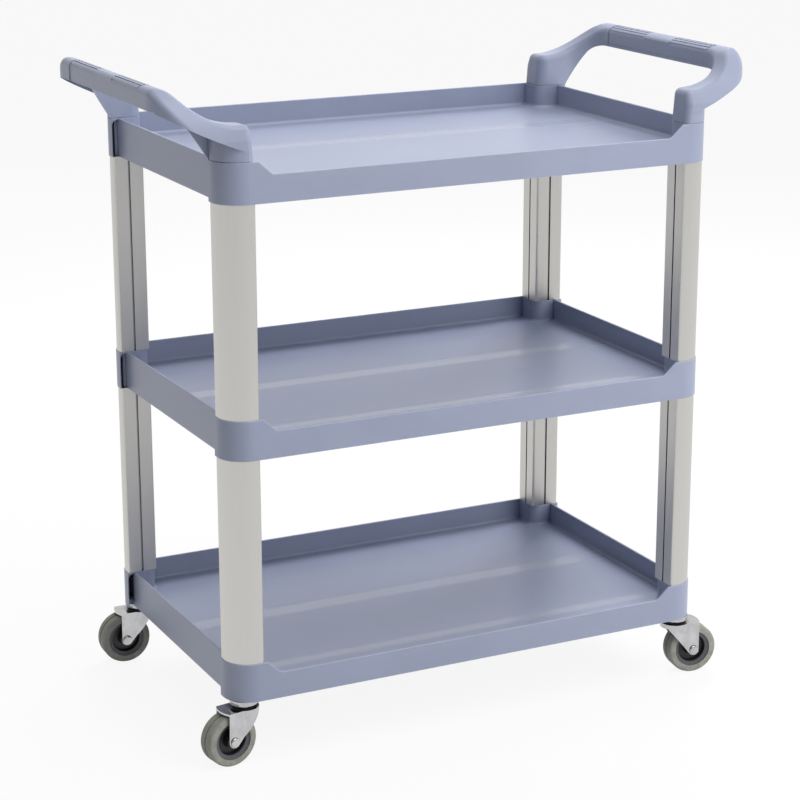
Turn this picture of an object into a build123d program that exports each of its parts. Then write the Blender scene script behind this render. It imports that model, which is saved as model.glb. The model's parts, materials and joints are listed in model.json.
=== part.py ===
"""Three-tier shelf trolley on swivel casters, with a push handle at each end.

Millimetres, +Z up. The origin is on the floor under the middle of the trolley.
X runs along the trolley, from the left handle to the right one. The low lip of
each shelf faces -Y, which is the front.
"""

import os
from math import atan2, cos, degrees, radians, sin, sqrt

from build123d import *

# Slack when picking edges by where they lie, and the least upward part of a normal that counts as upward
pick_slack = 0.01
upward_part = 0.3

# Shelf mouldings
shelf_length = 719.0
shelf_depth = 445.0
shelf_spacing = 331.0
corner_height = 53.0
lip_height = 36.0
lip_slope_run = 19.0
lip_shoulder = 4.5
lip_foot_radius = 9.0
deck_height = 21.0
deck_thickness = 3.5
shelf_wall = 3.2
end_recess = 10.0
cove_radius = 4.0
rim_round = 1.0
rib_thickness = 2.4
rib_depth = 12.0
rib_pitch = 95.0

# Corner blocks of the shelves
block_step = 1.2
block_wall = 4.0
block_plate = 4.5
block_inner_radius = 14.0
slot_skin = 1.2
slot_roof = 2.0
slot_depth = 12.0
slot_flat = 0.8

# Aluminium posts
post_size = 44.0
post_radius = 35.0
post_edge_radius = 3.0
post_wall = 2.2
groove_width = 3.0
groove_depth = 2.4

# Spigots that locate the posts and the handle feet
spigot_length = 18.0
spigot_wall = 3.0
spigot_clearance = 0.25

# Tie rods and their nuts
rod_diameter = 8.0
rod_clearance = 0.2
thread_clearance = 0.05
rod_end = 2.0
rod_end_chamfer = 0.8
nut_height = 6.5
nut_flats = 13.0
coupling_height = 32.0
coupling_flats = 17.0
caster_seat = 7.0
coupling_recess = 2.5
seat_clearance = 0.2

# Push handles
bar_reach = 44.5
bar_width = 28.0
bar_under = 63.0
handle_wall = 3.2
handle_edge_round = 9.0
foot_height = 45.0
foot_flat = 13.0
foot_taper = 3.5
arm_dip_radius = 95.0
crest_rise = 90.0
crest_inset = 10.0
crest_beyond = 4.0
arch_radius = 95.0
arch_headroom = 5.6
arch_start = 26.7
outer_bend_radius = 64.0
inner_bend_radius = 42.0
arm_lift = 12.0
arm_sag = 2.5
web_run = 40.0
web_bend_radius = 34.0
foot_wall = 4.2
foot_relief = 0.2
foot_web = 4.0
foot_web_gap = 0.5
seam_groove_height = 1.0
seam_groove_depth = 1.0
band_half = 33.0
grip_end = 131.0
grip_recess = 1.2
grip_rib_width = 3.2
grip_rib_pitch = 5.0
grip_rib_count = 5
grip_rib_stop = 4.0

# Casters
caster_height = 88.0
caster_trail = 24.5
wheel_diameter = 72.0
tread_width = 27.0
tread_round = 4.0
tread_groove_width = 3.0
tread_groove_depth = 1.2
tyre_bore = 52.5
bond_clearance = 0.02
rim_lip = 5.4
rim_width = 23.0
dish_depth = 8.0
hub_diameter = 22.0
hub_draft = 1.5
rim_draft = 1.5
hub_side_gap = 0.5
wheel_side_gap = 1.5
axle_diameter = 8.0
axle_clearance = 0.05
sleeve_diameter = 12.0
running_fit = 0.05
axle_head_diameter = 13.0
axle_head_height = 3.0
axle_head_round = 2.0
axle_nut_height = 5.0
axle_end = 1.5
fork_sheet = 2.5
fork_leg_end = 8.0
fork_lip = 4.0
fork_rear = 7.5
fork_wheel_gap = 2.5
crown_radius = 20.5
crown_foot_radius = 20.0
crown_bow = 4.5
shoulder_height = 36.0
race_radius = 13.0
ball_diameter = 5.0
ball_count = 14
ball_rise = 4.0
ball_clearance = 0.1
race_gap = 2.5
race_outside = 19.0
race_skirt = 2.6
race_wall = 1.5
skirt_gap = 3.5
skirt_round = 2.2
stem_diameter = 10.0
stem_head_diameter = 14.0
stem_head_height = 2.5
stem_entry = 13.0
swivel_clearance = 0.3

# Directions in which the casters trail at rest, in degrees from +X
trail_front_left = 189.0
trail_rear_left = 178.0
trail_front_right = -9.0
trail_rear_right = 6.0

# Places worked out from the sizes above
block_size = post_size + block_step
block_radius = post_radius + block_step
block_x = (shelf_length - block_size) / 2
block_y = (shelf_depth - block_size) / 2
block_inner_x = block_x - block_size / 2
block_inner_y = block_y - block_size / 2
post_x = block_inner_x + post_size / 2
post_y = block_inner_y + post_size / 2
tray_length = shelf_length - 2 * end_recess
tray_radius = block_radius - end_recess
spigot_inset = post_wall + groove_depth + spigot_clearance
spigot_size = post_size - 2 * spigot_inset
spigot_inner_radius = block_inner_radius - block_wall
underside_bottom = caster_height
underside_middle = caster_height + shelf_spacing
underside_top = caster_height + 2 * shelf_spacing
seam = underside_top + corner_height
post_length = shelf_spacing - corner_height
rod_hole = rod_diameter / 2 + rod_clearance
stem_hole = stem_diameter / 2 + rod_clearance
corners = {
    "front_left": (-1, -1, trail_front_left),
    "front_right": (1, -1, trail_front_right),
    "rear_left": (-1, 1, trail_rear_left),
    "rear_right": (1, 1, trail_rear_right),
}

os.makedirs("parts", exist_ok=True)


def save(piece, name):
    """Label a finished piece and write it to its own file."""
    piece.part.label = name
    export_step(piece.part, f"parts/{name}.step")


def round_quadrants(plan, outer_radius, inner_radius):
    """Round each square's corner that faces away from the trolley, and the one that faces its middle."""
    fillet(plan.vertices().group_by(SortBy.DISTANCE)[-1], outer_radius)
    fillet(plan.vertices().group_by(SortBy.DISTANCE)[0], inner_radius)


def block_grid():
    """The middles of the four corner blocks."""
    return GridLocations(2 * block_x, 2 * block_y, 2, 2)


def post_grid():
    """The four corner axes, on which posts, tie rods and casters sit."""
    return GridLocations(2 * post_x, 2 * post_y, 2, 2)


def shelf_rim(edges, underside):
    """Edges along the tops of the walls, the lip and its slopes, without those that cross a wall."""
    lip_level = underside + lip_height
    front = -shelf_depth / 2
    rim = ShapeList()
    for edge in edges:
        box = edge.bounding_box()
        if box.min.Z < lip_level - pick_slack:
            continue
        crosses_front_wall = box.max.Y < front + shelf_wall + pick_slack and box.size.Y > shelf_wall / 2
        if not crosses_front_wall:
            rim.append(edge)
    return rim


def make_shelf(name, underside, on_casters):
    """One shelf: deck, walls, front lip, ribs below, and hollow corner blocks with spigots."""
    with BuildPart() as shelf:
        with BuildSketch(Plane.XY.offset(underside)):
            RectangleRounded(tray_length, shelf_depth, tray_radius)
            RectangleRounded(
                tray_length - 2 * shelf_wall,
                shelf_depth - 2 * shelf_wall,
                tray_radius - shelf_wall,
                mode=Mode.SUBTRACT,
            )
        extrude(amount=corner_height)
        with BuildSketch(Plane.XY.offset(underside + deck_height)):
            RectangleRounded(tray_length - shelf_wall, shelf_depth - shelf_wall, tray_radius - shelf_wall / 2)
        extrude(amount=-deck_thickness)

        # The front wall is cut down to the lip, with a slope up to each corner block
        slope_top = block_inner_x - lip_shoulder
        slope_foot = slope_top - lip_slope_run
        with BuildSketch(Plane.XZ.offset(shelf_depth / 2)) as lip_cut:
            with BuildLine():
                Polyline(
                    (-slope_foot, underside + lip_height),
                    (slope_foot, underside + lip_height),
                    (slope_top, underside + corner_height),
                    (-slope_top, underside + corner_height),
                    close=True,
                )
            make_face()
            fillet(lip_cut.vertices().group_by(Axis.Y)[0], lip_foot_radius)
        extrude(amount=-shelf_wall, mode=Mode.SUBTRACT)

        with BuildSketch(Plane.XY.offset(underside)) as block_plan:
            with block_grid():
                Rectangle(block_size, block_size)
            round_quadrants(block_plan, block_radius, block_inner_radius)
        extrude(amount=corner_height)

        deck_edges = shelf.edges().filter_by_position(
            Axis.Z, underside + deck_height - pick_slack, underside + deck_height + pick_slack
        )
        fillet(deck_edges, cove_radius)
        fillet(shelf_rim(shelf.edges(), underside), rim_round)

        # Ribs under the deck stop short of the corner blocks' hollows
        rib_plane = Plane.XY.offset(underside + deck_height - deck_thickness)
        with BuildSketch(rib_plane):
            with GridLocations(rib_pitch, 0, int(2 * block_inner_x / rib_pitch), 1):
                Rectangle(rib_thickness, shelf_depth - shelf_wall)
            with GridLocations(0, rib_pitch, 1, int(2 * block_inner_y / rib_pitch)):
                Rectangle(tray_length - shelf_wall, rib_thickness)
        extrude(amount=-rib_depth)

        # Corner blocks are hollow, and the bottom shelf's have a seat for the caster
        hollow_floor = caster_seat if on_casters else 0.0
        hollow_size = block_size - 2 * block_wall
        with BuildSketch(Plane.XY.offset(underside + hollow_floor)) as hollow_plan:
            with block_grid():
                Rectangle(hollow_size, hollow_size)
            round_quadrants(hollow_plan, block_radius - block_wall, block_inner_radius - block_wall / 2)
        extrude(amount=corner_height - block_plate - hollow_floor, mode=Mode.SUBTRACT)

        # A tall slot beside the end wall opens each hollow
        slot_inside = tray_length / 2
        slot_outside = shelf_length / 2 - slot_skin
        slot_width = slot_outside - slot_inside
        with BuildSketch(Plane.XZ.offset(-block_inner_y)) as slot_face:
            with Locations(((slot_inside + slot_outside) / 2, underside)):
                Rectangle(slot_width, corner_height - slot_roof, align=(Align.CENTER, Align.MIN))
            roof = slot_face.vertices().group_by(Axis.Y)[-1]
            fillet(roof.sort_by(Axis.X)[-1], slot_width - slot_flat)
        slot = extrude(amount=-slot_depth, mode=Mode.SUBTRACT)
        slot_pair = [slot, mirror(slot, about=Plane.XZ, mode=Mode.SUBTRACT)]
        mirror(slot_pair, about=Plane.YZ, mode=Mode.SUBTRACT)

        # Spigots reach into the posts and the handle feet
        spigot_foot = -block_plate if on_casters else -corner_height - spigot_length
        with BuildSketch(Plane.XY.offset(underside + corner_height + spigot_foot)) as spigot_plan:
            with post_grid():
                Rectangle(spigot_size, spigot_size)
            round_quadrants(spigot_plan, post_radius - spigot_inset, spigot_inner_radius)
            offset(spigot_plan.sketch, amount=-spigot_wall, kind=Kind.INTERSECTION, mode=Mode.SUBTRACT)
        extrude(amount=spigot_length - spigot_foot)

        with BuildSketch(Plane.XY.offset(underside + corner_height)):
            with post_grid():
                Circle(rod_hole)
        extrude(amount=-block_plate, mode=Mode.SUBTRACT)

        if on_casters:
            with BuildSketch(Plane.XY.offset(underside)):
                with post_grid():
                    Circle(stem_hole)
            extrude(amount=caster_seat, mode=Mode.SUBTRACT)
            with BuildSketch(Plane.XY.offset(underside + caster_seat)):
                with post_grid():
                    RegularPolygon(coupling_flats / 2 + seat_clearance, 6, major_radius=False)
            extrude(amount=-coupling_recess, mode=Mode.SUBTRACT)
    save(shelf, name)


make_shelf("top_shelf", underside_top, False)
make_shelf("middle_shelf", underside_middle, False)
make_shelf("bottom_shelf", underside_bottom, True)


def make_post(name, side_x, side_y, foot):
    """One extruded post: quadrant tube with a groove down the middle of each inner face."""
    centre = (side_x * post_x, side_y * post_y)
    with BuildPart() as post:
        with BuildSketch(Plane.XY.offset(foot)) as section:
            with Locations(centre):
                Rectangle(post_size, post_size)
            fillet(section.vertices().sort_by(SortBy.DISTANCE)[1:3], post_edge_radius)
            round_quadrants(section, post_radius, post_edge_radius)
            with Locations((centre[0], side_y * block_inner_y)):
                Rectangle(groove_width, 2 * groove_depth, mode=Mode.SUBTRACT)
            with Locations((side_x * block_inner_x, centre[1])):
                Rectangle(2 * groove_depth, groove_width, mode=Mode.SUBTRACT)
            offset(section.sketch, amount=-post_wall, kind=Kind.INTERSECTION, mode=Mode.SUBTRACT)
        extrude(amount=post_length)
    save(post, name)


for corner, (side_x, side_y, _) in corners.items():
    make_post(f"lower_post_{corner}", side_x, side_y, underside_bottom + corner_height)
    make_post(f"upper_post_{corner}", side_x, side_y, underside_middle + corner_height)


# Handles, drawn for the right-hand one on planes at the seam
seam_plane = Plane.XY.offset(seam)
front_plane = Plane(origin=(0, 0, seam), x_dir=(1, 0, 0), z_dir=(0, -1, 0))
end_plane = Plane(origin=(block_inner_x, 0, seam), x_dir=(0, 1, 0), z_dir=(1, 0, 0))
bar_inside = shelf_length / 2 + bar_reach
bar_outside = bar_inside + bar_width
bar_middle = bar_inside + bar_width / 2
dip_start = block_inner_x + foot_flat
crest_top = bar_outside - crest_inset
crest_end = bar_outside + crest_beyond
dip_angle = 2 * atan2(crest_rise - foot_height, crest_top - dip_start)
crest_radius = (crest_top - dip_start) / sin(dip_angle) - arm_dip_radius
crest_fall = atan2(crest_end - crest_top, crest_radius)
arch_level = crest_rise + arch_headroom - arch_radius
arch_middle = shelf_depth / 2 - sqrt(arch_radius**2 - (arch_start - arch_level)**2)
lift_x = shelf_length / 2 - block_radius
web_foot_x = shelf_length / 2
web_top_x = web_foot_x + web_run


def foot_corners(form):
    """The near-upright edges of the feet's end faces, those nearest the middle of the trolley first."""
    ends = form.faces().filter_by(lambda face: face.normal_at().X < -upward_part)
    ends = ends.filter_by(lambda face: face.center().X < dip_start)
    upright = ends.edges().filter_by(lambda edge: edge.geom_type == GeomType.LINE)
    upright = upright.filter_by(lambda edge: edge.bounding_box().size.Z > foot_height / 3)
    return upright.sort_by(lambda edge: abs(edge.center().Y))


def handle_form(inset):
    """A solid of the handle's outer shape, drawn in by inset, that reaches down to the seam."""
    with BuildPart() as form:
        with BuildSketch(seam_plane) as plan:
            with Locations((block_inner_x, 0)):
                Rectangle(
                    bar_outside - block_inner_x - inset,
                    shelf_depth - 2 * inset,
                    align=(Align.MIN, Align.CENTER),
                )
                Rectangle(
                    bar_inside - block_inner_x + inset,
                    2 * (block_inner_y + inset),
                    align=(Align.MIN, Align.CENTER),
                    mode=Mode.SUBTRACT,
                )
            fillet(plan.vertices().group_by(Axis.X)[1], inner_bend_radius + inset)
            fillet(plan.vertices().group_by(Axis.X)[-1], outer_bend_radius - inset)
        extrude(amount=crest_rise)

        # From the front, the arms leave the feet in a dip, crest over the bar and fall to its outside
        with BuildSketch(front_plane):
            with BuildLine():
                foot_top = Line(
                    (block_inner_x + foot_taper + inset, foot_height - inset),
                    (dip_start, foot_height - inset),
                )
                dip = JernArc(foot_top @ 1, (1, 0), arm_dip_radius + inset, degrees(dip_angle))
                crest = JernArc(dip @ 1, dip % 1, crest_radius - inset, -degrees(dip_angle + crest_fall))
                Polyline(crest @ 1, ((crest @ 1).X, 0), (block_inner_x + inset, 0), foot_top @ 0)
            make_face()
        extrude(amount=shelf_depth / 2, both=True, mode=Mode.INTERSECT)

        # From the end, the arms lean in under an arch
        with BuildSketch(end_plane):
            with Locations((arch_middle, arch_level), (-arch_middle, arch_level)):
                Circle(arch_radius - inset)
            with Locations((0, arch_level)):
                Rectangle(2 * arch_middle, 2 * (arch_radius - inset))
                Rectangle(2 * (arch_middle + arch_radius), crest_rise, align=(Align.CENTER, Align.MAX))
        extrude(amount=crest_end - block_inner_x, mode=Mode.INTERSECT)

        fillet(foot_corners(form)[:2], block_inner_radius - inset)
        upward = form.faces().filter_by(lambda face: face.normal_at().Z > upward_part)
        arched = upward.filter_by(lambda face: abs(face.normal_at().Y) > upward_part).edges()
        level = upward.filter_by(lambda face: abs(face.normal_at().Y) < upward_part).edges()
        rim = level.filter_by(lambda edge: level.count(edge) == 1 and arched.count(edge) == 0)
        fillet(rim + arched + foot_corners(form)[-2:], handle_edge_round - inset)
    return form.part


handle_outside = handle_form(0)
handle_inside = handle_form(handle_wall)
handle_waist = handle_form(grip_recess)
foot_limit = handle_form(foot_relief)

# Foot: a hollow column over each corner block, just inside the shell, closed by a web for the tie rod
with BuildPart() as handle_feet:
    with BuildSketch(seam_plane) as foot_plan:
        with Locations((block_x, block_y), (block_x, -block_y)):
            Rectangle(block_size, block_size)
        round_quadrants(foot_plan, block_radius, block_inner_radius)
        offset(foot_plan.sketch, amount=-foot_wall, kind=Kind.INTERSECTION, mode=Mode.SUBTRACT)
    extrude(amount=crest_rise)
    with BuildSketch(seam_plane.offset(spigot_length + foot_web_gap)) as web_plan:
        with Locations((block_x, block_y), (block_x, -block_y)):
            Rectangle(block_size - foot_wall, block_size - foot_wall)
        round_quadrants(web_plan, block_radius - foot_wall / 2, block_inner_radius - foot_wall / 2)
        with Locations((post_x, post_y), (post_x, -post_y)):
            Circle(rod_hole, mode=Mode.SUBTRACT)
    extrude(amount=foot_web)
    add(foot_limit, mode=Mode.INTERSECT)

# Grips: the bar is a little slimmer than the arms, with a band left on top of its middle and ribs beside it
with BuildPart() as grip_cuts:
    with BuildSketch(front_plane):
        with Locations((bar_middle, bar_under)):
            Rectangle(2 * bar_width, 2 * bar_width, align=(Align.CENTER, Align.MIN))
    extrude(amount=grip_end, both=True)
    add(handle_waist, mode=Mode.SUBTRACT)
    with BuildSketch(front_plane):
        with Locations((bar_middle, bar_under)):
            Rectangle(bar_width - 2 * grip_recess, 2 * bar_width, align=(Align.CENTER, Align.MIN))
    extrude(amount=band_half, both=True, mode=Mode.SUBTRACT)
    with BuildSketch(front_plane):
        with Locations((bar_middle, crest_rise)):
            with GridLocations(grip_rib_pitch, 0, grip_rib_count, 1):
                Rectangle(grip_rib_width, bar_width)
    extrude(amount=grip_end - grip_rib_stop, both=True, mode=Mode.SUBTRACT)

with BuildPart() as right_handle:
    add(handle_outside)
    add(handle_inside, mode=Mode.SUBTRACT)

    # The inner walls rise from the feet as steep webs and bend into the flat underside of the bar
    with BuildSketch(front_plane) as web_cut:
        with BuildLine():
            Polyline(
                (web_foot_x, 0),
                (web_top_x, bar_under),
                (crest_end, bar_under),
                (crest_end, 0),
                close=True,
            )
        make_face()
        web_bend = web_cut.vertices().group_by(Axis.Y)[-1].sort_by(Axis.X)[0]
        fillet(web_bend, web_bend_radius)
    extrude(amount=block_inner_y + handle_wall, both=True, mode=Mode.SUBTRACT)

    # The outer walls climb from the feet to the bar in one sagging line
    with BuildSketch(front_plane.offset(block_inner_y + handle_wall)):
        with BuildLine():
            climb = SagittaArc((lift_x, arm_lift), (bar_outside, bar_under), -arm_sag)
            Polyline(climb @ 1, (crest_end, bar_under), (crest_end, 0), (lift_x, 0), climb @ 0)
        make_face()
    arm_cut = extrude(amount=block_size, mode=Mode.SUBTRACT)
    mirror(arm_cut, about=Plane.XZ, mode=Mode.SUBTRACT)
    add(handle_feet)
    add(grip_cuts, mode=Mode.SUBTRACT)

    # A shallow groove round the bottom of each foot makes the dark seam on the shelf
    with BuildSketch(seam_plane) as groove_plan:
        with Locations((block_x, block_y), (block_x, -block_y)):
            Rectangle(block_size, block_size)
        round_quadrants(groove_plan, block_radius, block_inner_radius)
        offset(groove_plan.sketch, amount=-seam_groove_depth, kind=Kind.INTERSECTION, mode=Mode.SUBTRACT)
    extrude(amount=seam_groove_height, mode=Mode.SUBTRACT)
save(right_handle, "right_handle")

with BuildPart() as left_handle:
    mirror(right_handle.part, about=Plane.YZ)
save(left_handle, "left_handle")


# Tie rods run from the coupling nuts in the bottom shelf to captive nuts in the handle feet
coupling_foot = underside_bottom + caster_seat - coupling_recess
rod_foot = coupling_foot + coupling_height - stem_entry
web_face = seam + spigot_length + foot_web_gap + foot_web
rod_top = web_face + nut_height + rod_end

with BuildPart() as tie_rods:
    with BuildSketch(Plane.XY.offset(rod_foot)):
        with post_grid():
            Circle(rod_diameter / 2)
    extrude(amount=rod_top - rod_foot)
    chamfer(tie_rods.edges().filter_by(GeomType.CIRCLE), rod_end_chamfer)
save(tie_rods, "tie_rods")

with BuildPart() as handle_nuts:
    with BuildSketch(Plane.XY.offset(web_face)):
        with post_grid():
            RegularPolygon(nut_flats / 2, 6, major_radius=False)
            Circle(rod_diameter / 2 + thread_clearance, mode=Mode.SUBTRACT)
    extrude(amount=nut_height)
save(handle_nuts, "handle_nuts")

with BuildPart() as coupling_nuts:
    with BuildSketch(Plane.XY.offset(coupling_foot)):
        with post_grid():
            RegularPolygon(coupling_flats / 2, 6, major_radius=False)
    extrude(amount=coupling_height)
    with BuildSketch(Plane.XY.offset(coupling_foot)):
        with post_grid():
            Circle(stem_diameter / 2 + thread_clearance)
    extrude(amount=coupling_height / 2, mode=Mode.SUBTRACT)
    with BuildSketch(Plane.XY.offset(coupling_foot + coupling_height)):
        with post_grid():
            Circle(rod_diameter / 2 + thread_clearance)
    extrude(amount=-coupling_height / 2, mode=Mode.SUBTRACT)
save(coupling_nuts, "coupling_nuts")


# Casters: heights from the floor, and distances along the axle from the middle of the wheel
wheel_radius = wheel_diameter / 2
crown_under = wheel_diameter + fork_wheel_gap
crown_top = crown_under + fork_sheet
ball_level = crown_top + ball_rise
lower_race_top = ball_level - race_gap / 2
upper_race_foot = ball_level + race_gap / 2
groove_radius = ball_diameter / 2 + ball_clearance
race_half = groove_radius + race_wall
shoulder_foot = crown_top - shoulder_height
fork_inside = tread_width / 2 + wheel_side_gap
fork_outside = fork_inside + fork_sheet
fork_reach = caster_trail + fork_rear
hub_radius = hub_diameter / 2
hub_half = fork_inside - hub_side_gap
rim_half = rim_width / 2
disc_half = rim_half - dish_depth
rim_radius = tyre_bore / 2 - bond_clearance
rim_inner_radius = rim_radius - rim_lip
axle = (caster_trail, wheel_radius)


def crown_outline():
    """The fork's crown seen from above: round at the swivel, with a bowed end where it covers the wheel."""
    with BuildSketch() as outline:
        Circle(crown_radius)
        Rectangle(fork_reach, 2 * fork_outside, align=(Align.MIN, Align.CENTER))
        with BuildLine():
            bow = SagittaArc((fork_reach, -fork_outside), (fork_reach, fork_outside), -crown_bow)
            Line(bow @ 1, bow @ 0)
        make_face()
    return outline.sketch


def leg_outline():
    """A fork leg seen along the axle: wide under the crown, narrow and round at the axle."""
    with BuildSketch() as outline:
        with BuildLine():
            CenterArc(axle, fork_leg_end, 0, 360)
            Line((-crown_radius, crown_top), (fork_reach, crown_top))
        make_hull()
    return outline.sketch


def shoulder_outline(inset):
    """Half of the fork's round shoulder, drawn in by inset, between the crown and its foot."""
    with BuildSketch() as outline:
        with BuildLine():
            Polyline(
                (0, shoulder_foot),
                (crown_foot_radius - inset, shoulder_foot),
                (crown_radius - inset, crown_top),
                (0, crown_top),
                close=True,
            )
        make_face()
    return outline.sketch


for corner, (side_x, side_y, trail) in corners.items():
    swivel = (side_x * post_x, side_y * post_y)
    trail_way = (cos(radians(trail)), sin(radians(trail)), 0)
    axle_way = (trail_way[1], -trail_way[0], 0)
    front_side = 1 if axle_way[1] < 0 else -1
    floor_plane = Plane(origin=(*swivel, 0), x_dir=trail_way, z_dir=(0, 0, 1))
    side_plane = Plane(origin=(*swivel, 0), x_dir=trail_way, z_dir=axle_way)
    swivel_axis = Axis((*swivel, 0), (0, 0, 1))
    axle_point = floor_plane.from_local_coords((caster_trail, 0, wheel_radius))
    wheel_plane = Plane(origin=axle_point, x_dir=axle_way, z_dir=(0, 0, 1))
    wheel_axis = Axis(axle_point, axle_way)

    with BuildPart() as stem:
        with BuildSketch(floor_plane.offset(crown_under - swivel_clearance)):
            Circle(stem_head_diameter / 2)
        extrude(amount=-stem_head_height)
        with BuildSketch(floor_plane.offset(coupling_foot + stem_entry)):
            Circle(stem_diameter / 2)
        extrude(amount=crown_under - swivel_clearance - coupling_foot - stem_entry)
    save(stem, f"caster_stem_{corner}")

    # The upper race lies against the shelf, with a rounded skirt that stops above the balls
    with BuildPart() as upper_race:
        with BuildSketch(side_plane):
            with Locations((stem_hole, caster_height)):
                Rectangle(
                    race_outside - stem_hole, caster_height - upper_race_foot, align=(Align.MIN, Align.MAX)
                )
            with Locations((race_outside, caster_height)):
                Rectangle(race_skirt, caster_height - crown_top - skirt_gap, align=(Align.MAX, Align.MAX))
            with Locations((race_radius, ball_level)):
                Circle(groove_radius, mode=Mode.SUBTRACT)
        revolve(axis=swivel_axis)
        skirt_rims = upper_race.edges().filter_by(GeomType.CIRCLE).group_by(Axis.Z)[0]
        fillet(skirt_rims.sort_by(SortBy.RADIUS)[-1], skirt_round)
    save(upper_race, f"upper_race_{corner}")

    with BuildPart() as balls:
        with Locations(floor_plane.offset(ball_level)):
            with PolarLocations(race_radius, ball_count):
                Sphere(ball_diameter / 2)
    save(balls, f"bearing_balls_{corner}")

    # The fork's shoulder is a cone that swells out of the flat legs
    with BuildPart() as shoulder:
        with BuildSketch(side_plane):
            add(shoulder_outline(0))
        revolve(axis=swivel_axis)
        with BuildSketch(side_plane):
            add(leg_outline())
        extrude(amount=crown_radius, both=True, mode=Mode.INTERSECT)
        with BuildSketch(floor_plane):
            Rectangle(4 * crown_radius, 2 * fork_inside)
        extrude(amount=crown_under, mode=Mode.SUBTRACT)

    with BuildPart() as fork:
        with BuildSketch(side_plane.offset(fork_inside)):
            add(leg_outline())
        leg = extrude(amount=fork_sheet)
        mirror(leg, about=side_plane)
        with BuildSketch(floor_plane):
            add(crown_outline())
        extrude(amount=crown_top, mode=Mode.INTERSECT)
        add(shoulder)
        with BuildSketch(side_plane):
            add(shoulder_outline(fork_sheet))
        revolve(axis=swivel_axis, mode=Mode.SUBTRACT)

        # Crown plate with a short lip round its front, and the lower race on top
        with BuildSketch(floor_plane.offset(crown_top)):
            add(crown_outline())
        extrude(amount=-fork_sheet)
        with BuildSketch(floor_plane.offset(crown_under)):
            Circle(crown_radius)
            Circle(crown_radius - fork_sheet, mode=Mode.SUBTRACT)
            Rectangle(2 * crown_radius, 2 * crown_radius, align=(Align.MIN, Align.CENTER), mode=Mode.SUBTRACT)
        extrude(amount=-fork_lip)
        with BuildSketch(side_plane):
            with Locations((race_radius, crown_top)):
                Rectangle(2 * race_half, lower_race_top - crown_top, align=(Align.CENTER, Align.MIN))
            with Locations((race_radius, ball_level)):
                Circle(groove_radius, mode=Mode.SUBTRACT)
        revolve(axis=swivel_axis)
        with BuildSketch(floor_plane.offset(crown_top)):
            Circle(stem_diameter / 2 + swivel_clearance)
        extrude(amount=-fork_sheet, mode=Mode.SUBTRACT)
        with BuildSketch(side_plane):
            with Locations(axle):
                Circle(axle_diameter / 2 + axle_clearance)
        extrude(amount=fork_outside, both=True, mode=Mode.SUBTRACT)
    save(fork, f"fork_{corner}")

    with BuildPart() as axle_bolt:
        with BuildSketch(side_plane.offset(front_side * fork_outside)):
            with Locations(axle):
                Circle(axle_head_diameter / 2)
        extrude(amount=front_side * axle_head_height)
        head_rim = axle_bolt.faces().sort_by(Axis.Y)[0].edges()
        fillet(head_rim, axle_head_round)
        with BuildSketch(side_plane.offset(front_side * fork_outside)):
            with Locations(axle):
                Circle(axle_diameter / 2)
        extrude(amount=-front_side * (2 * fork_outside + axle_nut_height + axle_end))
    save(axle_bolt, f"axle_bolt_{corner}")

    with BuildPart() as axle_nut:
        with BuildSketch(side_plane.offset(-front_side * fork_outside)):
            with Locations(axle):
                RegularPolygon(nut_flats / 2, 6, major_radius=False)
                Circle(axle_diameter / 2 + thread_clearance, mode=Mode.SUBTRACT)
        extrude(amount=-front_side * axle_nut_height)
    save(axle_nut, f"axle_nut_{corner}")

    with BuildPart() as axle_sleeve:
        with BuildSketch(side_plane):
            with Locations(axle):
                Circle(sleeve_diameter / 2)
                Circle(axle_diameter / 2 + axle_clearance, mode=Mode.SUBTRACT)
        extrude(amount=fork_inside, both=True)
    save(axle_sleeve, f"axle_sleeve_{corner}")

    # Wheel core: hub, thin disc and a rim whose faces slope in towards the disc
    with BuildPart() as wheel_core:
        with BuildSketch(wheel_plane):
            with BuildLine():
                Polyline(
                    (0, sleeve_diameter / 2 + running_fit),
                    (hub_half, sleeve_diameter / 2 + running_fit),
                    (hub_half, hub_radius - hub_draft),
                    (disc_half, hub_radius),
                    (disc_half, rim_inner_radius - rim_draft),
                    (rim_half - rim_draft, rim_inner_radius),
                    (rim_half, rim_radius),
                    (0, rim_radius),
                    close=True,
                )
            make_face()
            mirror(about=Plane.YZ)
        revolve(axis=wheel_axis)
    save(wheel_core, f"wheel_core_{corner}")

    with BuildPart() as tyre:
        with BuildSketch(wheel_plane) as tyre_profile:
            with Locations((0, tyre_bore / 2)):
                Rectangle(tread_width, wheel_radius - tyre_bore / 2, align=(Align.CENTER, Align.MIN))
            fillet(tyre_profile.vertices().group_by(Axis.Y)[-1], tread_round)
            with Locations((0, wheel_radius)):
                Rectangle(tread_groove_width, 2 * tread_groove_depth, mode=Mode.SUBTRACT)
        revolve(axis=wheel_axis)
    save(tyre, f"tyre_{corner}")
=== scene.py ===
# %% [markdown]
# # A shelf trolley, dressed in Blender
# The CAD model already holds every rigid piece of the trolley at its real size: three moulded shelves,
# eight aluminium posts, two push handles and four swivel casters. This lesson leaves those shapes alone
# and gives them their finishes, then sets up a plain pale studio and a camera at the photograph's angle.

# %% Load the CAD frame
import json
import math

import bmesh
import bpy
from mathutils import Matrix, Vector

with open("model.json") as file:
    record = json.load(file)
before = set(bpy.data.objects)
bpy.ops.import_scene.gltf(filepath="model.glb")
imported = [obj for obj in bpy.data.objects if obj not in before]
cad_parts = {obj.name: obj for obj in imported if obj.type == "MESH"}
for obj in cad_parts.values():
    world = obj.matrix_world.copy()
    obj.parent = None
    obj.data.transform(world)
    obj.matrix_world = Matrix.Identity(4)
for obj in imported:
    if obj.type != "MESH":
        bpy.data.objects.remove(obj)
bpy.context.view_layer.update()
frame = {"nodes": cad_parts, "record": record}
record = frame["record"]

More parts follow.
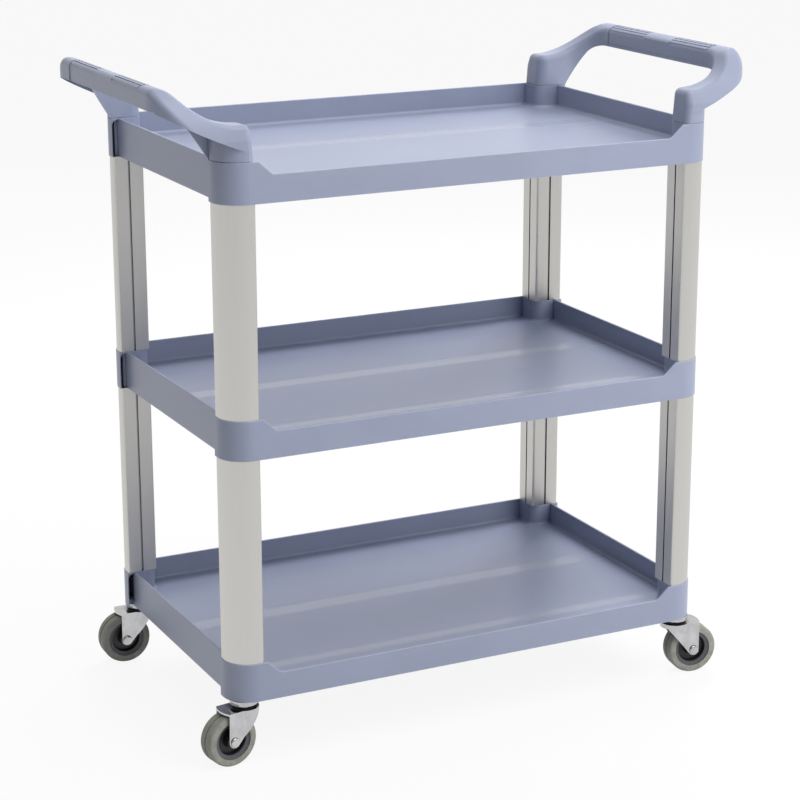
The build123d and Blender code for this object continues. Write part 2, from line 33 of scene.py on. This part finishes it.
# %% [markdown]
# ## Small helpers for shader nodes
# A material is a graph, and long graphs are hard to read as bare Blender calls. These helpers add one
# node at a time and take either a plain value or another node's output for each input. They could be
# replaced by drawing the graph by hand in the shader editor, but code can be rerun and compared.


# %% Node helpers
def wire(tree, socket, value):
    """Link a socket to another node's output, or set its value."""
    if isinstance(value, bpy.types.NodeSocket):
        tree.links.new(value, socket)
    else:
        socket.default_value = value


def add_node(tree, kind, inputs=(), **settings):
    """Add a node, set its own settings, and fill its inputs by name."""
    node = tree.nodes.new(kind)
    for name, value in settings.items():
        setattr(node, name, value)
    for name, value in dict(inputs).items():
        wire(tree, node.inputs[name], value)
    return node


def calculate(tree, operation, *values):
    """One Math node, returned as its output."""
    node = tree.nodes.new("ShaderNodeMath")
    node.operation = operation
    for socket, value in zip(node.inputs, values):
        wire(tree, socket, value)
    return node.outputs[0]


def blend_colours(tree, amount, first, second):
    """Go from the first colour to the second by an amount from 0 to 1."""
    node = tree.nodes.new("ShaderNodeMix")
    node.data_type = "RGBA"
    for socket, value in zip((node.inputs[0], node.inputs[6], node.inputs[7]), (amount, first, second)):
        wire(tree, socket, value)
    return node.outputs[2]


def remap(tree, value, from_low, from_high, to_low, to_high):
    """Stretch a value from one range to another, held at the ends."""
    node = add_node(
        tree,
        "ShaderNodeMapRange",
        {"Value": value, "From Min": from_low, "From Max": from_high, "To Min": to_low, "To Max": to_high},
    )
    return node.outputs["Result"]


def split_axes(tree, vector):
    """The X, Y and Z of a vector, as outputs that are picked by name."""
    return add_node(tree, "ShaderNodeSeparateXYZ", {"Vector": vector}).outputs


def start_group(name, inputs, outputs):
    """Begin a node group with named sockets, and return it with its input and output nodes."""
    group = bpy.data.node_groups.new(name, "ShaderNodeTree")
    for label, kind in inputs:
        group.interface.new_socket(name=label, in_out="INPUT", socket_type=kind)
    for label, kind in outputs:
        group.interface.new_socket(name=label, in_out="OUTPUT", socket_type=kind)
    return group, group.nodes.new("NodeGroupInput"), group.nodes.new("NodeGroupOutput")


def place_group(tree, group, **inputs):
    """Place a node group in a material and fill its inputs; spaces in names are written as underscores."""
    node = tree.nodes.new("ShaderNodeGroup")
    node.node_tree = group
    for name, value in inputs.items():
        wire(tree, node.inputs[name.replace("_", " ")], value)
    return node


FLOAT = "NodeSocketFloat"
VECTOR = "NodeSocketVector"

# %% [markdown]
# ## Moulding texture
# Injection moulded plastic isn't a single flat colour. The mould's etched surface gives it a fine grain,
# and the flow of the melt leaves soft, broad differences in shade. Both come from noise measured in the
# object's own coordinates, which are metres in the CAD frame, so the grain has a real size.

# %% Moulding texture group
moulding, group_in, group_out = start_group(
    "Moulding texture",
    [("Grain per metre", FLOAT), ("Patches per metre", FLOAT)],
    [("Grain", FLOAT), ("Patches", FLOAT)],
)
place = add_node(moulding, "ShaderNodeTexCoord").outputs["Object"]
grain_noise = add_node(
    moulding,
    "ShaderNodeTexNoise",
    {"Vector": place, "Scale": group_in.outputs["Grain per metre"], "Detail": 3.0, "Roughness": 0.6},
)
patch_noise = add_node(
    moulding,
    "ShaderNodeTexNoise",
    {"Vector": place, "Scale": group_in.outputs["Patches per metre"], "Detail": 4.0, "Roughness": 0.55},
)
wire(moulding, group_out.inputs["Grain"], grain_noise.outputs["Fac"])
wire(moulding, group_out.inputs["Patches"], remap(moulding, patch_noise.outputs["Fac"], 0.3, 0.7, 0.0, 1.0))
print("group:", moulding.name)

# %% [markdown]
# ## Edge wear and highlight
# Edges are paler, partly from wear by handling and wiping and partly as a painted highlight where a
# rounded edge would catch the light: plastic goes paler there and plating brighter. A Bevel node gives the
# normal that a rounded edge would have. Where it differs from the real normal, an edge is near, so the
# difference is a mask that needs no image.

# %% Edge wear and highlight group
edge_wear_and_highlight, group_in, group_out = start_group(
    "Edge wear and highlight",
    [("Reach", FLOAT), ("Breakup per metre", FLOAT), ("Strength", FLOAT)],
    [("Mask", FLOAT)],
)
softened = add_node(edge_wear_and_highlight, "ShaderNodeBevel", {"Radius": group_in.outputs["Reach"]}, samples=2)
true_normal = add_node(edge_wear_and_highlight, "ShaderNodeNewGeometry").outputs["Normal"]
agreement = add_node(
    edge_wear_and_highlight,
    "ShaderNodeVectorMath",
    {0: softened.outputs["Normal"], 1: true_normal},
    operation="DOT_PRODUCT",
).outputs["Value"]
edge_nearness = remap(edge_wear_and_highlight, agreement, 0.99, 0.8, 0.0, 1.0)
breakup = add_node(
    edge_wear_and_highlight,
    "ShaderNodeTexNoise",
    {
        "Vector": add_node(edge_wear_and_highlight, "ShaderNodeTexCoord").outputs["Object"],
        "Scale": group_in.outputs["Breakup per metre"],
        "Detail": 2.0,
    },
).outputs["Fac"]
broken_up = remap(edge_wear_and_highlight, breakup, 0.25, 0.6, 0.35, 1.0)
edge_mark = calculate(edge_wear_and_highlight, "MULTIPLY", edge_nearness, broken_up)
edge_mark = calculate(edge_wear_and_highlight, "MULTIPLY", edge_mark, group_in.outputs["Strength"])
wire(edge_wear_and_highlight, group_out.inputs["Mask"], edge_mark)
print("group:", edge_wear_and_highlight.name)

# %% [markdown]
# ## Soft band
# Several finishes need a stripe or a ring: the smooth bands on the decks with their painted reflection, the
# painted shade in the gap of a swivel, the grey ring of a wheel's rim. A band is 1 near a centre value and
# falls off softly on both sides. Fed with a coordinate it is a stripe, and fed with a radius it is a ring.

# %% Soft band group
soft_band, group_in, group_out = start_group(
    "Soft band",
    [("Value", FLOAT), ("Centre", FLOAT), ("Half width", FLOAT), ("Softness", FLOAT)],
    [("Mask", FLOAT)],
)
away = calculate(soft_band, "ABSOLUTE", calculate(
    soft_band, "SUBTRACT", group_in.outputs["Value"], group_in.outputs["Centre"]
))
beyond = calculate(soft_band, "SUBTRACT", away, group_in.outputs["Half width"])
faded = calculate(soft_band, "DIVIDE", beyond, group_in.outputs["Softness"])
inside = calculate(soft_band, "SUBTRACT", 1.0, faded)
inside.node.use_clamp = True
wire(soft_band, group_out.inputs["Mask"], inside)
print("group:", soft_band.name)

# %% [markdown]
# ## Recess shade
# Grooves, slots and seams are painted darker than the light alone would make them, as painted shade.
# An Ambient Occlusion node measures how closed in a point is. The group turns that into a mask that is 0 in
# the open and reaches its strength deep inside.

# %% Recess shade group
recess_shade, group_in, group_out = start_group(
    "Recess shade",
    [("Reach", FLOAT), ("Strength", FLOAT)],
    [("Mask", FLOAT)],
)
openness = add_node(
    recess_shade, "ShaderNodeAmbientOcclusion", {"Distance": group_in.outputs["Reach"]}, samples=4
).outputs["AO"]
closed_in = remap(recess_shade, openness, 0.75, 0.25, 0.0, group_in.outputs["Strength"])
wire(recess_shade, group_out.inputs["Mask"], closed_in)
print("group:", recess_shade.name)

# %% [markdown]
# ## Drawn lines
# Aluminium that is pushed through a die, and steel that is drawn or turned, carries fine lines along its
# length. Noise squeezed across the piece and stretched along it gives such lines, with no image needed.

# %% Drawn lines group
drawn_lines, group_in, group_out = start_group(
    "Drawn lines",
    [("Stretch", VECTOR), ("Lines per metre", FLOAT)],
    [("Lines", FLOAT)],
)
stretched = add_node(
    drawn_lines,
    "ShaderNodeVectorMath",
    {0: add_node(drawn_lines, "ShaderNodeTexCoord").outputs["Object"], 1: group_in.outputs["Stretch"]},
    operation="MULTIPLY",
).outputs["Vector"]
line_noise = add_node(
    drawn_lines,
    "ShaderNodeTexNoise",
    {"Vector": stretched, "Scale": group_in.outputs["Lines per metre"], "Detail": 5.0, "Roughness": 0.65},
)
line_strength = remap(drawn_lines, line_noise.outputs["Fac"], 0.3, 0.7, 0.0, 1.0)
wire(drawn_lines, group_out.inputs["Lines"], line_strength)
print("group:", drawn_lines.name)

# %% [markdown]
# ## Radius from the axle
# A wheel's finish changes with the distance from its axle, not with X, Y or Z. The group takes a point on
# the axle and its direction, and gives the distance of the shaded point from that line.

# %% Radius group
axle_radius, group_in, group_out = start_group(
    "Radius from the axle",
    [("Axle point", VECTOR), ("Axle direction", VECTOR)],
    [("Radius", FLOAT)],
)
offset = add_node(
    axle_radius,
    "ShaderNodeVectorMath",
    {
        0: add_node(axle_radius, "ShaderNodeTexCoord").outputs["Object"],
        1: group_in.outputs["Axle point"],
    },
    operation="SUBTRACT",
).outputs["Vector"]
crossed = add_node(
    axle_radius,
    "ShaderNodeVectorMath",
    {0: offset, 1: group_in.outputs["Axle direction"]},
    operation="CROSS_PRODUCT",
).outputs["Vector"]
length = add_node(axle_radius, "ShaderNodeVectorMath", {0: crossed}, operation="LENGTH").outputs["Value"]
wire(axle_radius, group_out.inputs["Radius"], length)
print("group:", axle_radius.name)


# %% [markdown]
# ## Starting a material
# Every finish here is one Principled shader with a bump on its normal. This helper makes the empty
# material and hands back its tree and its shader, so each finish can be written as a short recipe.


# %% Material helper
def start_finish(name, **constants):
    """Make a material with its constants on the shader's sockets; return material, tree and shader."""
    material = bpy.data.materials.new(name)
    material.use_nodes = True
    tree = material.node_tree
    shader = tree.nodes["Principled BSDF"]
    for socket_name, value in constants.items():
        shader.inputs[socket_name.replace("_", " ")].default_value = value
    return material, tree, shader


def add_bump(tree, shader, height, strength, distance):
    """Bend the shading normal by a height."""
    bump = add_node(tree, "ShaderNodeBump", {"Height": height, "Strength": strength, "Distance": distance})
    tree.links.new(bump.outputs["Normal"], shader.inputs["Normal"])


# %% [markdown]
# ## Shelf plastic
# The shelves are blue-grey polypropylene with a satin skin. Two long bands on each deck are smoother than
# the rest, and their paler colour is a painted reflection. They have hardly any depth, so they are painted
# as bands across Y on the upward faces. The rims of walls and lips carry a painted highlight, strongest
# where they face up.

# %% Shelf plastic
plastic_dark = (0.276, 0.307, 0.419, 1.0)
plastic_light = (0.303, 0.337, 0.457, 1.0)
plastic_edge_highlight = (0.56, 0.60, 0.74, 1.0)
plastic_recess_shade = (0.085, 0.095, 0.145, 1.0)
band_reflection_colour = (0.34, 0.37, 0.475, 1.0)
bottom_deck_z = 0.109
top_deck_z = 0.771
back_band_at_bottom = 0.016
back_band_at_top = 0.043
back_band_half = 0.012
front_band_y = -0.162
front_band_half = 0.007
band_softness = 0.004
band_polish = 0.12

shelf_plastic, tree, shader = start_finish("shelf_plastic", IOR=1.49)
texture = place_group(tree, moulding, Grain_per_metre=900.0, Patches_per_metre=7.0)
edges = place_group(tree, edge_wear_and_highlight, Reach=0.002, Breakup_per_metre=40.0, Strength=1.0)
painted_recess_shade = place_group(tree, recess_shade, Reach=0.008, Strength=0.5)
position = split_axes(tree, add_node(tree, "ShaderNodeTexCoord").outputs["Object"])
facing = split_axes(tree, add_node(tree, "ShaderNodeNewGeometry").outputs["Normal"])

# The back band lies further back on the upper shelves, and the front band runs along the lip
back_band_y = remap(
    tree, position["Z"], bottom_deck_z, top_deck_z, back_band_at_bottom, back_band_at_top
)
back_band = place_group(
    tree,
    soft_band,
    Value=position["Y"],
    Centre=back_band_y,
    Half_width=back_band_half,
    Softness=band_softness,
)
front_band = place_group(
    tree,
    soft_band,
    Value=position["Y"],
    Centre=front_band_y,
    Half_width=front_band_half,
    Softness=band_softness,
)
bands = calculate(tree, "ADD", back_band.outputs["Mask"], front_band.outputs["Mask"])
level = remap(tree, facing["Z"], 0.97, 0.995, 0.0, 1.0)
band_mask = calculate(tree, "MULTIPLY", bands, level)
rim = calculate(tree, "MULTIPLY", edges.outputs["Mask"], remap(tree, facing["Z"], 0.0, 0.5, 0.2, 0.9))
colour = blend_colours(tree, texture.outputs["Patches"], plastic_dark, plastic_light)
# The bands' paler colour is a painted reflection; their lower roughness follows below
colour = blend_colours(tree, band_mask, colour, band_reflection_colour)
# Edges, most where they face up: a painted highlight
colour = blend_colours(tree, rim, colour, plastic_edge_highlight)
# Grooves, slots and seams: painted shade
colour = blend_colours(tree, painted_recess_shade.outputs["Mask"], colour, plastic_recess_shade)
wire(tree, shader.inputs["Base Color"], colour)
satin = remap(tree, texture.outputs["Patches"], 0.0, 1.0, 0.31, 0.37)
smoother = calculate(tree, "MULTIPLY", band_mask, band_polish)
wire(tree, shader.inputs["Roughness"], calculate(tree, "SUBTRACT", satin, smoother))
add_bump(tree, shader, texture.outputs["Grain"], 0.05, 0.0004)
print("finish:", shelf_plastic.name)

# %% [markdown]
# ## Handle plastic
# The handles are moulded from the same plastic, with a finer grain and smaller patches. The edges of the
# grips carry a painted highlight, and the gaps between their ribs carry painted shade.

# %% Handle plastic
handle_plastic, tree, shader = start_finish("handle_plastic", IOR=1.49)
texture = place_group(tree, moulding, Grain_per_metre=1100.0, Patches_per_metre=14.0)
edges = place_group(tree, edge_wear_and_highlight, Reach=0.0008, Breakup_per_metre=60.0, Strength=0.5)
painted_recess_shade = place_group(tree, recess_shade, Reach=0.003, Strength=0.6)
colour = blend_colours(tree, texture.outputs["Patches"], plastic_dark, plastic_light)
# Edges: a painted highlight
colour = blend_colours(tree, edges.outputs["Mask"], colour, plastic_edge_highlight)
# Rib gaps and hollows: painted shade
colour = blend_colours(tree, painted_recess_shade.outputs["Mask"], colour, plastic_recess_shade)
wire(tree, shader.inputs["Base Color"], colour)
wire(tree, shader.inputs["Roughness"], remap(tree, texture.outputs["Patches"], 0.0, 1.0, 0.30, 0.38))
add_bump(tree, shader, texture.outputs["Grain"], 0.05, 0.0004)
print("finish:", handle_plastic.name)

# %% [markdown]
# ## Anodised posts
# The posts are aluminium extrusions with a satin, slightly warm anodised skin. Die lines run up each post,
# so the drawn lines are squeezed in X and Y and stretched in Z.

# %% Anodised posts
post_dark = (0.61, 0.597, 0.572, 1.0)
post_light = (0.65, 0.637, 0.612, 1.0)
post_edge_highlight = (0.76, 0.75, 0.73, 1.0)
post_recess_shade = (0.03, 0.03, 0.032, 1.0)
up_the_post = (1.0, 1.0, 0.008)

post_aluminium, tree, shader = start_finish("post_aluminium", Metallic=1.0)
lines = place_group(tree, drawn_lines, Stretch=up_the_post, Lines_per_metre=900.0)
edges = place_group(tree, edge_wear_and_highlight, Reach=0.0008, Breakup_per_metre=50.0, Strength=0.4)
painted_recess_shade = place_group(tree, recess_shade, Reach=0.004, Strength=1.0)
colour = blend_colours(tree, lines.outputs["Lines"], post_dark, post_light)
# Edges: a painted highlight
colour = blend_colours(tree, edges.outputs["Mask"], colour, post_edge_highlight)
# Grooves and seams: painted shade, near black
colour = blend_colours(tree, painted_recess_shade.outputs["Mask"], colour, post_recess_shade)
wire(tree, shader.inputs["Base Color"], colour)
wire(tree, shader.inputs["Roughness"], remap(tree, lines.outputs["Lines"], 0.0, 1.0, 0.44, 0.52))
add_bump(tree, shader, lines.outputs["Lines"], 0.04, 0.0002)
print("finish:", post_aluminium.name)

# %% [markdown]
# ## Plated steel
# Forks, races and axle bolts are steel with bright plating. Real plating is never a perfect mirror:
# the sheet below it is slightly wavy. Its edges carry a painted highlight. A low, broad bump bends the
# reflections.
# The gap between the two races of each swivel is painted black as painted shade, and all four gaps are at
# one height.

# %% Bright plating
plating_dark = (0.44, 0.44, 0.45, 1.0)
plating_light = (0.58, 0.58, 0.59, 1.0)
plating_edge_highlight = (0.92, 0.92, 0.92, 1.0)
plating_recess_shade = (0.02, 0.02, 0.022, 1.0)
race_gap_middle = 0.0787
race_gap_half = 0.0013
race_gap_softness = 0.0004

caster_plating, tree, shader = start_finish("caster_plating", Metallic=1.0)
texture = place_group(tree, moulding, Grain_per_metre=160.0, Patches_per_metre=60.0)
edges = place_group(tree, edge_wear_and_highlight, Reach=0.0008, Breakup_per_metre=80.0, Strength=0.7)
painted_recess_shade = place_group(tree, recess_shade, Reach=0.012, Strength=1.0)
colour = blend_colours(tree, texture.outputs["Patches"], plating_dark, plating_light)
# Edges: a painted highlight
colour = blend_colours(tree, edges.outputs["Mask"], colour, plating_edge_highlight)
# Gaps and recesses: painted shade
colour = blend_colours(tree, painted_recess_shade.outputs["Mask"], colour, plating_recess_shade)
height = split_axes(tree, add_node(tree, "ShaderNodeTexCoord").outputs["Object"])["Z"]
# Painted shade in the gap between the two races of each swivel
race_gap_shade = place_group(
    tree,
    soft_band,
    Value=height,
    Centre=race_gap_middle,
    Half_width=race_gap_half,
    Softness=race_gap_softness,
)
colour = blend_colours(tree, race_gap_shade.outputs["Mask"], colour, plating_recess_shade)
wire(tree, shader.inputs["Base Color"], colour)
wire(tree, shader.inputs["Roughness"], remap(tree, texture.outputs["Patches"], 0.0, 1.0, 0.08, 0.16))
add_bump(tree, shader, texture.outputs["Grain"], 0.05, 0.0006)
print("finish:", caster_plating.name)

# %% [markdown]
# ## Zinc plated fasteners
# Rods, nuts, stems and balls sit inside the trolley. They are duller than the forks, with lines along the
# rods from drawing.

# %% Fastener steel
steel_dark = (0.38, 0.39, 0.40, 1.0)
steel_light = (0.52, 0.53, 0.53, 1.0)
steel_edge = (0.7, 0.7, 0.7, 1.0)
along_the_rod = (1.0, 1.0, 0.05)

fastener_steel, tree, shader = start_finish("fastener_steel", Metallic=1.0)
lines = place_group(tree, drawn_lines, Stretch=along_the_rod, Lines_per_metre=1500.0)
edges = place_group(tree, edge_wear_and_highlight, Reach=0.0005, Breakup_per_metre=90.0, Strength=0.5)
colour = blend_colours(tree, lines.outputs["Lines"], steel_dark, steel_light)
# Edges: paler, partly from wear and partly as a painted highlight
colour = blend_colours(tree, edges.outputs["Mask"], colour, steel_edge)
wire(tree, shader.inputs["Base Color"], colour)
wire(tree, shader.inputs["Roughness"], remap(tree, lines.outputs["Lines"], 0.0, 1.0, 0.3, 0.42))
add_bump(tree, shader, lines.outputs["Lines"], 0.08, 0.0002)
print("finish:", fastener_steel.name)

# %% [markdown]
# ## Wheels
# Each wheel has a black nylon core with a dark grey ring at its rim, and a grey rubber tyre. Rings follow
# the radius from that wheel's own axle, so each corner gets its own pair of materials, made from the same
# recipe with the axle taken from the trolley's joints.

# %% Wheel finishes
wheel_radius = 0.036
rim_ring_middle = 0.0235
rim_ring_half = 0.0028
rim_ring_softness = 0.0006
tread_half = 0.001
tread_softness = 0.003
tread_darkening = 0.35
core_black = (0.012, 0.012, 0.014, 1.0)
rim_grey = (0.085, 0.087, 0.10, 1.0)
rubber_dark = (0.23, 0.232, 0.20, 1.0)
rubber_light = (0.35, 0.355, 0.315, 1.0)
axles = {
    joint["name"].removeprefix("wheel_roll_"): (joint["pos_m"], joint["axis"])
    for joint in record["behaviour"]["joints"]
    if joint["name"].startswith("wheel_roll_")
}


def core_finish(corner, axle_point, axle_direction):
    """Black satin nylon with a grey ring at the rim."""
    material, tree, shader = start_finish(f"wheel_plastic_{corner}", IOR=1.5)
    texture = place_group(tree, moulding, Grain_per_metre=1500.0, Patches_per_metre=80.0)
    radius = place_group(tree, axle_radius, Axle_point=axle_point, Axle_direction=axle_direction)
    ring = place_group(
        tree,
        soft_band,
        Value=radius.outputs["Radius"],
        Centre=rim_ring_middle,
        Half_width=rim_ring_half,
        Softness=rim_ring_softness,
    )
    wire(tree, shader.inputs["Base Color"], blend_colours(tree, ring.outputs["Mask"], core_black, rim_grey))
    wire(tree, shader.inputs["Roughness"], remap(tree, texture.outputs["Patches"], 0.0, 1.0, 0.38, 0.5))
    add_bump(tree, shader, texture.outputs["Grain"], 0.1, 0.0003)
    return material


def rubber_finish(corner, axle_point, axle_direction):
    """Matt grey rubber, darker towards the tread."""
    material, tree, shader = start_finish(f"tyre_rubber_{corner}", IOR=1.5)
    texture = place_group(tree, moulding, Grain_per_metre=1800.0, Patches_per_metre=90.0)
    radius = place_group(tree, axle_radius, Axle_point=axle_point, Axle_direction=axle_direction)
    tread = place_group(
        tree,
        soft_band,
        Value=radius.outputs["Radius"],
        Centre=wheel_radius,
        Half_width=tread_half,
        Softness=tread_softness,
    )
    colour = blend_colours(tree, texture.outputs["Patches"], rubber_dark, rubber_light)
    tread_mask = calculate(tree, "MULTIPLY", tread.outputs["Mask"], tread_darkening)
    colour = blend_colours(tree, tread_mask, colour, rubber_dark)
    wire(tree, shader.inputs["Base Color"], colour)
    wire(tree, shader.inputs["Roughness"], remap(tree, texture.outputs["Patches"], 0.0, 1.0, 0.62, 0.78))
    add_bump(tree, shader, texture.outputs["Grain"], 0.2, 0.0004)
    return material


wheel_finishes = {}
for corner, (axle_point, axle_direction) in axles.items():
    wheel_finishes[f"wheel_core_{corner}"] = core_finish(corner, axle_point, axle_direction)
    wheel_finishes[f"tyre_{corner}"] = rubber_finish(corner, axle_point, axle_direction)
print("wheel finishes:", sorted(wheel_finishes))

# %% [markdown]
# ## Dressing the CAD nodes
# The record says which material slot each node uses. Finishes are looked up by that slot, except for the
# wheels, which have finishes of their own, and each one goes into the node's first material slot.

# %% Assign the finishes
slot_finishes = {
    "shelf_plastic": shelf_plastic,
    "handle_plastic": handle_plastic,
    "post_aluminium": post_aluminium,
    "caster_plating": caster_plating,
    "fastener_steel": fastener_steel,
}
for subpart in record["subparts"]:
    piece = frame["nodes"][subpart["node"]]
    finish = wheel_finishes.get(subpart["node"]) or slot_finishes[subpart["material_slot"]]
    piece.data.materials.clear()
    piece.data.materials.append(finish)
print("dressed:", len(record["subparts"]), "nodes")

# %% [markdown]
# ## Pale floor
# The photograph was cut out on white. A plain pale floor stands in for that: rays from the camera, and
# those that metal reflects, see mostly white, and the rest of the floor's colour is lit as usual, so the
# trolley still rests in its own soft shadow.

# %% Floor
floor_radius = 30.0
floor_white_share = 0.9
floor_grey = (0.8, 0.8, 0.8, 1.0)
white = (1.0, 1.0, 1.0, 1.0)

outline = bmesh.new()
bmesh.ops.create_circle(outline, cap_ends=True, segments=64, radius=floor_radius)
floor_mesh = bpy.data.meshes.new("floor")
outline.to_mesh(floor_mesh)
outline.free()
floor = bpy.data.objects.new("floor", floor_mesh)
bpy.context.scene.collection.objects.link(floor)

floor_finish, tree, shader = start_finish("pale_floor", Base_Color=floor_grey, Roughness=0.9)
glow = add_node(tree, "ShaderNodeEmission", {"Color": white, "Strength": 1.0})
ray = add_node(tree, "ShaderNodeLightPath")
seen = calculate(tree, "ADD", ray.outputs["Is Camera Ray"], ray.outputs["Is Glossy Ray"])
seen = calculate(tree, "MINIMUM", calculate(tree, "ADD", seen, ray.outputs["Is Transmission Ray"]), 1.0)
share = calculate(tree, "MULTIPLY", seen, floor_white_share)
mixed = add_node(
    tree, "ShaderNodeMixShader", {0: share, 1: shader.outputs["BSDF"], 2: glow.outputs["Emission"]}
)
tree.links.new(mixed.outputs["Shader"], tree.nodes["Material Output"].inputs["Surface"])
floor_mesh.materials.append(floor_finish)
print("floor radius:", floor_radius)

# %% [markdown]
# ## Studio light
# The photograph was lit from the right and from above, and the room was darker on the camera's side. The
# world gives the soft part of that. Its diffuse light comes from the ceiling alone. Metal and gloss see a
# room with six sides of their own brightness: a ray gets each side's share by the square of its direction,
# and the squares of X, Y and Z always add up to one. The camera sees white.

# %% World
ceiling_strength = 0.95
room_sides = {"X": (0.45, 1.1), "Y": (0.45, 0.9), "Z": (0.4, 0.9)}

world = bpy.data.worlds.new("studio")
bpy.context.scene.world = world
world.use_nodes = True
tree = world.node_tree
way = split_axes(tree, add_node(tree, "ShaderNodeTexCoord").outputs["Generated"])
room = 0.0
for axis, (low_side, high_side) in room_sides.items():
    side = remap(tree, calculate(tree, "SIGN", way[axis]), -1.0, 1.0, low_side, high_side)
    share = calculate(tree, "MULTIPLY", way[axis], way[axis])
    room = calculate(tree, "ADD", room, calculate(tree, "MULTIPLY", share, side))
upward_part = calculate(tree, "MAXIMUM", way["Z"], 0.0)
lobe = calculate(tree, "MULTIPLY", upward_part, upward_part)
ceiling = calculate(tree, "MULTIPLY", lobe, ceiling_strength)
ray = add_node(tree, "ShaderNodeLightPath")
mirrored = calculate(tree, "MAXIMUM", ray.outputs["Is Glossy Ray"], ray.outputs["Is Transmission Ray"])
unseen = remap(tree, mirrored, 0.0, 1.0, ceiling, room)
background = tree.nodes["Background"]
background.inputs["Color"].default_value = white
wire(tree, background.inputs["Strength"], remap(tree, ray.outputs["Is Camera Ray"], 0.0, 1.0, unseen, 1.0))
print("ceiling:", ceiling_strength, "room sides:", room_sides)

# %% [markdown]
# ## Lamps
# Three square softboxes stand at the right in front, overhead, and high behind at the right, from where the
# light reaches under the shelves to the decks. The front and the rear one are hidden from glossy rays:
# mirrored at a low angle they would bleach the decks, and metal has the room to mirror instead.


# %% Lamps
def soft_lamp(name, place, target, size, power):
    """A square area lamp that looks at a target."""
    lamp = bpy.data.lights.new(name, "AREA")
    lamp.size = size
    lamp.energy = power
    stand = bpy.data.objects.new(name, lamp)
    bpy.context.scene.collection.objects.link(stand)
    stand.location = place
    away = stand.location - Vector(target)
    stand.rotation_euler = away.to_track_quat("Z", "Y").to_euler()
    return stand


middle = (0.0, 0.0, 0.45)
front_softbox = soft_lamp("front_softbox", place=(1.7, -2.2, 1.5), target=middle, size=2.8, power=58.0)
front_softbox.visible_glossy = False
soft_lamp("top_softbox", place=(0.2, -0.9, 2.9), target=middle, size=2.0, power=28.0)
rear_softbox = soft_lamp("rear_softbox", place=(1.5, 1.9, 2.3), target=middle, size=1.4, power=76.0)
rear_softbox.visible_glossy = False
print("lamps:", [light.name for light in bpy.data.lights])

# %% [markdown]
# ## Camera
# The viewpoint was worked out from the photograph: about 3.1 m in front and to the left of the trolley, a
# little above it, with a long lens. The photograph's uprights are almost parallel, as after a tilt
# correction. A plain camera with no lens shift comes within a few pixels of it, or 13 at the casters, and
# suits other views too.

# %% Camera
camera_place = (-1.3966, -2.8042, 1.3002)
camera_pitch = -16.01
camera_roll = 0.1
camera_heading = -26.4

camera_data = bpy.data.cameras.new("camera")
camera_data.sensor_width = 36.0
camera_data.lens = 103.4
camera = bpy.data.objects.new("camera", camera_data)
bpy.context.scene.collection.objects.link(camera)
camera.location = camera_place
camera.rotation_euler = [math.radians(turn) for turn in (90.0 + camera_pitch, camera_roll, camera_heading)]
bpy.context.scene.camera = camera
bpy.context.scene.view_settings.view_transform = "Standard"
print("camera at", camera.location)
